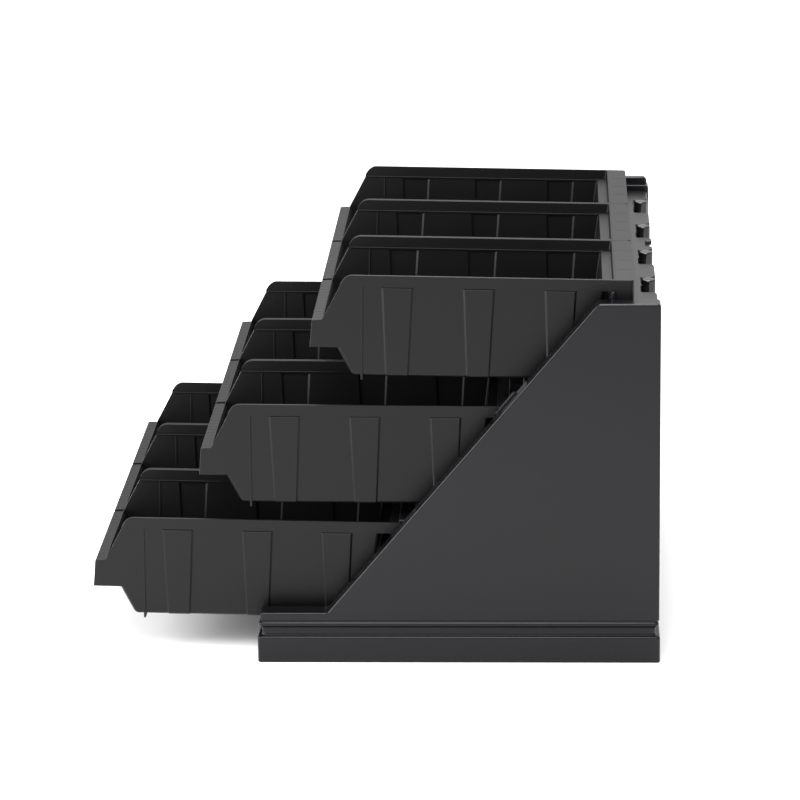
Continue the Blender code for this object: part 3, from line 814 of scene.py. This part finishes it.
def rear_flange():
    """The box flange behind the rim, open below, with rounded rear corners and grooves on top."""
    reach = FLANGE_FRONT - FLANGE_CHEEK
    block = box_shape((-RIM_HALF, reach, -FLANGE_DEEP), (RIM_HALF, 0, 0))
    flange = loose("flange", eased(block, FLANGE_CORNER, 6, lambda e: all(
        v.co.y > -MM for v in e.verts
    ) and abs(e.verts[0].co.z - e.verts[1].co.z) > MM))
    for low, high in (
        ((-RIM_HALF + WALL, FLANGE_FRONT + WALL, -FLANGE_DEEP - MM), (RIM_HALF - WALL, -WALL, -WALL)),
        ((-RIM_HALF + WALL, reach - MM, -FLANGE_DEEP - MM), (RIM_HALF - WALL, FLANGE_FRONT - MM, MM)),
        ((-RIM_HALF - MM, reach - MM, -FLANGE_DEEP - MM), (RIM_HALF + MM, FLANGE_FRONT, -RIM_BAND)),
    ):
        joined(flange, loose("hollow", box_shape(low, high)), "DIFFERENCE")
    edges_eased(flange, FLANGE_RADIUS, 4)
    for x in FLANGE_GROOVES:
        cut = box_shape(
            (x - GROOVE_HALF, FLANGE_FRONT + GROOVE_FRONT, -GROOVE_DEEP), (x + GROOVE_HALF, -GROOVE_REAR, MM),
        )
        for corner in cut.verts:
            if corner.co.z < 0:
                corner.co.x = x
        joined(flange, loose("groove", cut), "DIFFERENCE")
    return flange


def side_ledge(side):
    """A slim strip inside a side wall: its top is a ledge where the rim band begins."""
    inner = half_width(-RIM_BAND) - WALL
    strip = box_shape(
        (inner - LEDGE_WIDTH, -RIM_LENGTH - LEDGE_FRONT, -RIM_BAND - LEDGE_BELOW),
        (inner + LEDGE_ROOT, FLANGE_FRONT - LEDGE_REAR, -RIM_BAND + LEDGE_ABOVE),
    )
    bmesh.ops.scale(strip, vec=(side, 1, 1), verts=strip.verts)
    bmesh.ops.recalc_face_normals(strip, faces=strip.faces[:])
    return loose("ledge", eased(strip, LEDGE_RADIUS, 3, lambda e: all(
        abs(v.co.x) < inner for v in e.verts
    ) and abs(e.verts[0].co.y - e.verts[1].co.y) > MM))


def foot_rib():
    """A thin rib that hoops the walls and floor near the front."""
    front, rear = FOOT_RIB_AT - FOOT_RIB_THICK / 2, FOOT_RIB_AT + FOOT_RIB_THICK / 2
    top, bottom, inside = -RIM_BAND + MM, -BIN_DEPTH - FOOT_RIB_DROP, WALL + FOOT_RIB_ROOT
    half = half_width(0) + FOOT_RIB_PROUD
    rib = loose("rib", slab([(front, top), (rear, top), (rear, bottom), (front, bottom)], -half, half, DRAFT))
    within = half_width(0) - inside
    joined(rib, loose("within", slab([
        (front - MM, 0), (rear + MM, 0), (rear + MM, -BIN_DEPTH + inside), (front - MM, -BIN_DEPTH + inside),
    ], -within, within, DRAFT)), "DIFFERENCE")
    return edges_eased(rib, FOOT_RIB_RADIUS, 3)


bin_master = tub()
for extra in (front_lip(), rear_flange(), foot_rib(), side_ledge(1), side_ledge(-1)):
    joined(bin_master, extra)
for tier in ("top", "middle", "bottom"):
    rear, height, lean = tier_place(tier)
    for column in range(1, 4):
        name = f"bin_{tier}_{column}"
        low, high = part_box(name)
        place = Matrix.Translation(((low.x + high.x) / 2, rear, height)) @ Matrix.Rotation(-lean, 4, "X")
        dress(placed_copy(bin_master, f"{name}_moulding", place), bin_plastic, name, [name])
bpy.data.objects.remove(bin_master, do_unlink=True)


# Studio: a plain white floor in an evenly white room. One long soft light stands above the near
# side panel and one beyond the far one, and both run along the level edges to light their rounding;
# a third stands in front and to the side and lights the sloping edges.
def matte(name, colour):
    """White paper: it scatters light evenly and has no gloss."""
    material = bpy.data.materials.new(name)
    material.use_nodes = True
    shader = material.node_tree.nodes["Principled BSDF"]
    shader.inputs["Base Color"].default_value = linear(colour)
    shader.inputs["Roughness"].default_value = 0.9
    shader.inputs["Specular IOR Level"].default_value = 0.0
    return material


ground = bmesh.new()
bmesh.ops.create_grid(ground, x_segments=1, y_segments=1, size=12.0)
bmesh.ops.translate(ground, vec=(0, 0, -0.2 * MM), verts=ground.verts)
floor = loose("studio_floor", ground)
floor.data.materials.append(matte("white_paper", "#fbfbfb"))


def softbox(name, place, aim, width, height, power):
    """A rectangular area light at a place, turned towards a point."""
    lamp = bpy.data.lights.new(name, "AREA")
    lamp.shape = "RECTANGLE"
    lamp.size, lamp.size_y = width, height
    lamp.energy = power
    made = bpy.data.objects.new(name, lamp)
    made.location = place
    made.rotation_euler = (Vector(aim) - Vector(place)).to_track_quat("-Z", "Y").to_euler()
    made.visible_camera = False
    bpy.context.scene.collection.objects.link(made)


softbox("overhead", place=(0.95, -0.1, 1.9), aim=(0.1, 0.0, 0.2), width=0.8, height=1.9, power=38)
softbox("behind", place=(-0.9, 0.0, 2.1), aim=(0.0, 0.0, 0.3), width=0.9, height=1.7, power=44)
softbox("front", place=(0.8, -1.8, 0.8), aim=(0.0, -0.1, 0.15), width=1.3, height=1.5, power=60)

ROOM_BRIGHTNESS = 0.93
world = bpy.data.worlds.new("studio")
world.use_nodes = True
world.node_tree.nodes["Background"].inputs["Color"].default_value = linear("#ffffff")
world.node_tree.nodes["Background"].inputs["Strength"].default_value = ROOM_BRIGHTNESS
bpy.context.scene.world = world
bpy.context.scene.view_settings.view_transform = "Standard"

# The camera looks squarely at the near side panel from a little above, with a long lens.
CAMERA_PLACE = (3.3728, 0.0962, 1.1877)
HEADING, LOOKING_DOWN, LEANING = 92.72, 16.54, -0.89
camera = bpy.data.cameras.new("camera")
camera.sensor_width = 36
camera.lens = 157.2
camera.clip_end = 50
viewer = bpy.data.objects.new("camera", camera)
bpy.context.scene.collection.objects.link(viewer)
heading = Matrix.Rotation(math.radians(HEADING), 4, "Z")
pitch = Matrix.Rotation(math.radians(90 - LOOKING_DOWN), 4, "X")
roll = Matrix.Rotation(math.radians(LEANING), 4, "Z")
viewer.matrix_world = Matrix.Translation(CAMERA_PLACE) @ heading @ pitch @ roll
bpy.context.scene.camera = viewer
